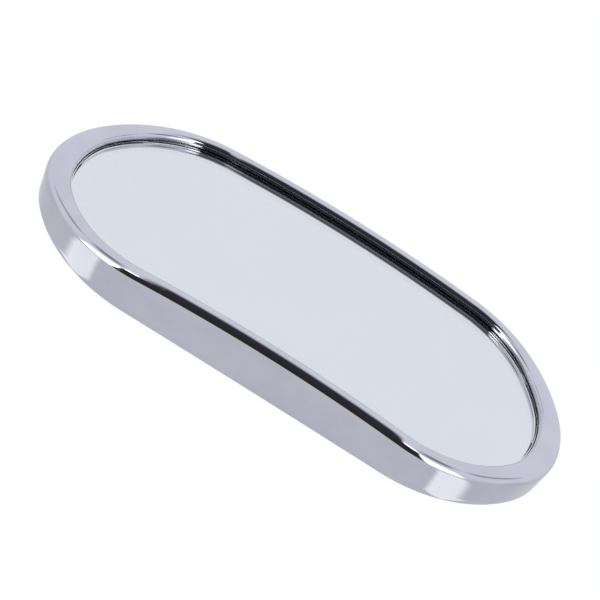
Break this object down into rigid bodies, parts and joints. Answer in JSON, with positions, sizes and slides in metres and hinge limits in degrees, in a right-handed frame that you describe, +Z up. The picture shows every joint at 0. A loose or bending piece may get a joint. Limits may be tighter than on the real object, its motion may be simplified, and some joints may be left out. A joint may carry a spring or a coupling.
{
  "type": "interior rearview mirror",
  "caption": "Chromed oval interior rearview mirror with an arched rim and wide-angle glass, on a ball joint and a pivoting arm that screws to the header.",
  "frame": {"origin": "middle of the foot's mounting face, which lies against the header above the windscreen", "axes": "+Z up, out of the mounting face; the glass faces -Y, towards the driver; +X along the head's length, to the right as seen from the glass side"},
  "size_m": [0.215, 0.111, 0.1267],
  "materials": {
    "chrome": "polished chrome plate",
    "knurled_chrome": "knurled, chrome plated",
    "polished_steel": "polished stainless steel",
    "black_steel": "black oxide",
    "spring_steel": "tempered spring steel",
    "zinc_plate": "zinc-plated sheet steel",
    "clear_glass": "clear float glass, gently bent",
    "silvering": "silvered, painted behind",
    "foam": "closed-cell foam tape",
    "rubber": "moulded rubber",
    "nylon": "natural nylon"
  },
  "bodies": {
    "foot": {"foot_gasket": "rubber", "foot_base": "chrome", "clevis_screw": "black_steel", "foot_clevis": "chrome", "pivot_bolt": "polished_steel", "friction_washers": "nylon", "disc_spring": "spring_steel", "pivot_nut": "polished_steel"},
    "eye": {"arm_eye": "polished_steel"},
    "arm": {"arm_tube": "chrome", "arm_set_screw": "black_steel", "jam_nut": "polished_steel", "ball_stud": "polished_steel"},
    "liner": {"ball_liner": "nylon"},
    "socket": {"socket_body": "chrome", "socket_nut": "knurled_chrome", "socket_grub_screw": "black_steel", "socket_flange": "chrome"},
    "head": {"levelling_washer": "spring_steel", "flange_ring": "chrome", "ring_screws": "polished_steel", "back_cover": "chrome", "cover_screws": "polished_steel", "carrier_plate": "zinc_plate", "glass_pad": "foam", "silver_coat": "silvering", "mirror_glass": "clear_glass", "mirror_frame": "chrome"}
  },
  "joints": [
    {"name": "arm_swing", "type": "hinge", "parent": "foot", "child": "eye", "pos_m": [0, 0, -0.022], "axis": [1, 0, 0], "range_deg": [-25, 25]},
    {"name": "arm_twist", "type": "hinge", "parent": "eye", "child": "arm", "pos_m": [0, -0.04618, -0.0811], "axis": [0, 0.6157, 0.788], "range_deg": [-40, 40]},
    {"name": "ball_tilt", "type": "hinge", "parent": "arm", "child": "liner", "pos_m": [0, -0.04618, -0.0811], "axis": [1, 0, 0], "range_deg": [-18, 18]},
    {"name": "ball_pan", "type": "hinge", "parent": "liner", "child": "socket", "pos_m": [0, -0.04618, -0.0811], "axis": [0, -0.788, 0.6157], "range_deg": [-18, 18]},
    {"name": "levelling", "type": "hinge", "parent": "socket", "child": "head", "pos_m": [0, -0.04618, -0.0811], "axis": [0, 1, 0], "range_deg": [-15, 15]}
  ]
}
